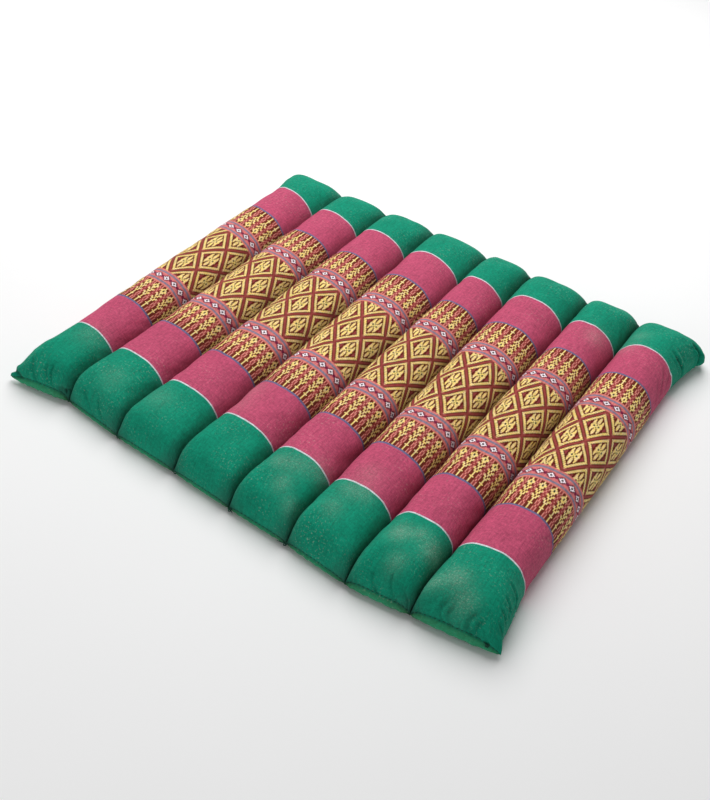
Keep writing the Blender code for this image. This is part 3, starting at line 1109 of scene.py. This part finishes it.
def lattice_colour(u, v, yellow):
    """Yellow diamonds with leafy flowers on a brown-red lattice."""
    across = (u / CELL_MM).ping_pong(HALF_REPEAT)
    along = (v / LATTICE_ROW_MM + HALF_REPEAT).ping_pong(HALF_REPEAT)
    far = math.floor(across) + round(along) > HALF_REPEAT - 0.4
    across = far.mixed(across, HALF_REPEAT - across)
    along = far.mixed(along, HALF_REPEAT - along)
    column = math.floor(across)
    row = round(along)
    depth = column + row

    # A float of the outline is shorter at its two long edges, so the outline has a notched edge
    off_row = abs(along - row) * 2.0
    outline = abs(across + row - OUTLINE_PLACE) < FLOAT_REACH - off_row * off_row * FLOAT_ROUNDING

    flower = chart(FLOWER, row, math.floor(across * 2.0))
    fringe = chart(FLOWER_EDGE, row, column)
    tip = (column < 0.5) & row.between(TIP_ROW - 0.5, TIP_ROW + 0.5)
    ground = paint(depth < HEART_REACH, BROWN_RED, HEART_RED)
    ground = paint(depth.between(*EDGE_BAND) | fringe, ground, EDGE_BROWN)
    ground = paint(chart(FLOWER_DOTS, row, column), ground, OLIVE)
    ground = paint(tip * TIP_SHARE, ground, SALMON)
    floats = (outline | flower) & float_light(v, LATTICE_ROW_MM)
    eye = abs(across - EYE_PLACE) + along < EYE_REACH
    return paint(eye, paint(floats, ground, yellow), EYE)


def border_colour(offset, side, beside):
    """White diamonds with dark eyes on rosy red, between coral and grey stripes."""
    row = abs(round(offset / BORDER_ROW_MM))
    away = abs(offset)
    depth = side + row
    wine, dark, white = BORDER_REACHES
    colour = paint(depth < wine, BORDER_RED, BORDER_WINE)
    colour = paint(depth < dark, colour, BORDER_DARK)
    colour = paint((side > HALF_TREE - 0.5) & (row < 1.5), colour, BORDER_PLUM)
    colour = paint(depth < white, colour, BORDER_WHITE)
    colour = paint(beside * CELL_MM + away < BORDER_EYE_MM, colour, BORDER_EYE)
    for limit, stripe in zip(BORDER_STEPS_MM, (CORAL, STRIPE_GREY, ROSE)):
        colour = paint(away > limit, colour, stripe)
    return colour


def tree_colour(w, side, beside, yellow):
    """Yellow trees on dark red, with salmon stems between them."""
    row = math.floor((w - TREE_START_MM) / TREE_ROW_MM).at_least(0.0).at_most(len(TREE) - 1)
    stems = chart(STEMS, row, (side - STEM_COLUMN).at_least(0.0)) & (side > STEM_COLUMN - 0.5)
    stems = stems & (abs(beside - side) < STRAND_REACH)
    ground = paint(side < STEM_COLUMN - 0.5, TREE_RED, TRUNK_RED)
    ground = paint((side < 0.5) & row.between(*TREE_EYE_ROWS), ground, EYE)
    colour = paint(stems * STEM_SHARE, ground, SALMON)
    floats = float_light(w - (TREE_START_MM + TREE_ROW_MM / 2), TREE_ROW_MM)
    return paint(chart(TREE, row, side) & floats, colour, yellow)


def khit_cloth():
    """The banded cotton cloth, from its woven coordinates in millimetres."""
    material = new_material("khit_cloth")
    place = source(material, "ShaderNodeUVMap", "UV", uv_map="cloth")
    world = source(material, "ShaderNodeTexCoord", "Object")
    u, v = (place.node("ShaderNodeSeparateXYZ", {"Vector": place}, axis) for axis in "XY")
    v = v + (place.stretched(0.05, 0.012, 1.0).noise(1.0) - 0.5) * WANDER_MM
    w = abs(v)

    # Whole and true distances in columns from the nearest tree or border diamond
    side = HALF_TREE - round(round(u / CELL_MM).ping_pong(HALF_TREE))
    beside = HALF_TREE - (u / CELL_MM).ping_pong(HALF_TREE)

    yellow = paint(place.noise(0.30).soft_step(0.40, 0.62), YELLOW, CREAM)
    colour = lattice_colour(u, v, yellow)
    for limit, band in ((LATTICE_END_MM, border_colour(w - BORDER_MIDDLE_MM, side, beside)),
                        (TREE_START_MM, tree_colour(w, side, beside, yellow)),
                        (TREE_END_MM, BLUE), (BLUE_END_MM, MAGENTA),
                        (MAGENTA_END_MM, WHITE), (WHITE_END_MM, GREEN)):
        colour = paint(w > limit, colour, band)

    # Uneven yarn: threads across, threads along, single thread crossings, mottle and slow patches
    crossings = place.noise(0.9, 3.0, 0.75)
    uneven = (place.stretched(0.09, 0.70, 1.0).noise(1.0, 2.0, 0.6),
              place.stretched(0.70, 0.06, 1.0).noise(1.0, 2.0, 0.6),
              crossings, place.noise(0.34, 3.0, 0.65), world.noise(34.0, 4.0, 0.65))
    light = 1.0
    for found, strength in zip(uneven, YARN_UNEVENNESS):
        light = light + (found - 0.5) * strength
    # Painted shade on the floors of folds and in the gaps where tubes meet near an end
    light = light * (1.0 - mark(material, "dark") * FOLD_SHADE)
    colour = light.node("ShaderNodeMix", {0: 1.0, 6: colour, 7: light}, 2,
                        data_type="RGBA", blend_type="MULTIPLY")

    # Painted shade beside the channels, painted light below the near seam, lint on the plain bands,
    # scuffs and the sewn lines
    lint = world.noise(22.0, 3.0, 0.6).soft_step(0.40, 0.72)
    lint = lint * place.noise(0.42, 3.0, 0.7).soft_step(0.55, 0.70) * (w > BLUE_END_MM)
    rubbed = place.noise(0.66, 4.0, 0.80).soft_step(0.50, 0.68).mixed(SCUFF_HAZE, 1.0)
    for share, over in ((mark(material, "painted_channel_shade") * CHANNEL_SHADE_SHARE, CHANNEL_SHADE_GREY),
                        (mark(material, "bounce_light") * BOUNCE_LIGHT_SHARE, BOUNCE_LIGHT_GREEN),
                        (lint * LINT_SHARE, LINT),
                        (mark(material, "scuff") * rubbed * SCUFF_SHARE, LINT),
                        (mark(material, "sewn") * SEWN_SHARE, THREAD_COLOUR)):
        colour = paint(share, colour, over)

    turn = 2.0 * math.pi / THREAD_SPACING_MM
    relief = (u * turn).sine() * (v * turn).sine() * 0.35 + crossings
    pale = colour.node("ShaderNodeSeparateColor", {"Color": colour}, "Green").soft_step(0.10, 0.36)
    return finished(material, {
        "Base Color": colour, "Normal": relief.bump(0.35, 0.0006), "Roughness": 0.80,
        "Specular IOR Level": ((w < TREE_END_MM) & pale).mixed(*GLOSS),
        "Sheen Weight": 0.03, "Sheen Roughness": 0.5})


def thread_material():
    """Dark green sewing thread with a twist."""
    material = new_material("sewing_thread")
    fibre = source(material, "ShaderNodeTexCoord", "Object").noise(2600.0)
    return finished(material, {
        "Base Color": paint(fibre, THREAD_COLOUR, THREAD_LIGHT), "Normal": fibre.bump(0.5, 0.0002),
        "Roughness": 0.7, "Specular IOR Level": 0.2})


def floor_material():
    material = new_material("pale_floor")
    grain = source(material, "ShaderNodeTexCoord", "Object").noise(3.0, 3.0)
    return finished(material, {
        "Base Color": paint(grain, *FLOOR_WHITES), "Roughness": 0.9})


# Studio

CAMERA_EYE = Vector((0.4030, -0.7260, 0.7091))
CAMERA_TARGET = Vector((0.0115, -0.0481, 0.0))
CAMERA_ROLL = math.radians(5.98)
CAMERA_LENS_MM = 51.82
CAMERA_SENSOR_MM = 36.0
FLOOR_REACH = 6.0
FLOOR_LEVEL = -0.0005
SKY_STRENGTH = 0.255
LAMPS = (
    # name, place, size, power
    ("key", (-0.52, 0.75, 1.55), 1.7, 34.5),
    ("fill", (-0.4, -1.7, 0.6), 1.2, 4.5),
)


def camera():
    data = bpy.data.cameras.new("camera")
    data.lens = CAMERA_LENS_MM
    data.sensor_width = CAMERA_SENSOR_MM
    data.sensor_fit = "HORIZONTAL"
    camera_object = linked("camera", data)
    back = (CAMERA_EYE - CAMERA_TARGET).normalized()
    right = Vector((0.0, 0.0, 1.0)).cross(back).normalized()
    up = back.cross(right)
    cosine, sine = math.cos(CAMERA_ROLL), math.sin(CAMERA_ROLL)
    turn = Matrix((right * cosine + up * sine, up * cosine - right * sine, back)).transposed()
    camera_object.matrix_world = Matrix.Translation(CAMERA_EYE) @ turn.to_4x4()
    bpy.context.scene.camera = camera_object


def studio():
    """A pale floor, a plain white surrounding and two round lamps turned to the cushion."""
    data = bpy.data.meshes.new("floor")
    corners = [(x * FLOOR_REACH, y * FLOOR_REACH, FLOOR_LEVEL)
               for x, y in ((-1, -1), (1, -1), (1, 1), (-1, 1))]
    data.from_pydata(corners, [], [(0, 1, 2, 3)])
    floor = linked("floor", data)
    data.materials.append(floor_material())
    world = bpy.data.worlds.new("studio")
    world.use_nodes = True
    background = world.node_tree.nodes["Background"]
    background.inputs["Color"].default_value = (1.0, 1.0, 1.0, 1.0)
    background.inputs["Strength"].default_value = SKY_STRENGTH
    bpy.context.scene.world = world
    for name, place, size, power in LAMPS:
        data = bpy.data.lights.new(name, "AREA")
        data.shape = "DISK"
        data.size = size
        data.energy = power
        lamp = linked(name, data)
        lamp.location = place
        lamp.rotation_euler = (-Vector(place)).to_track_quat("-Z", "Y").to_euler()
    settings = bpy.context.scene.view_settings
    settings.view_transform = "Standard"
    settings.look = "None"


def main():
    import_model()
    camera()
    studio()
    seams, channels = main_tubes()
    sewing(seams, channels)


main()
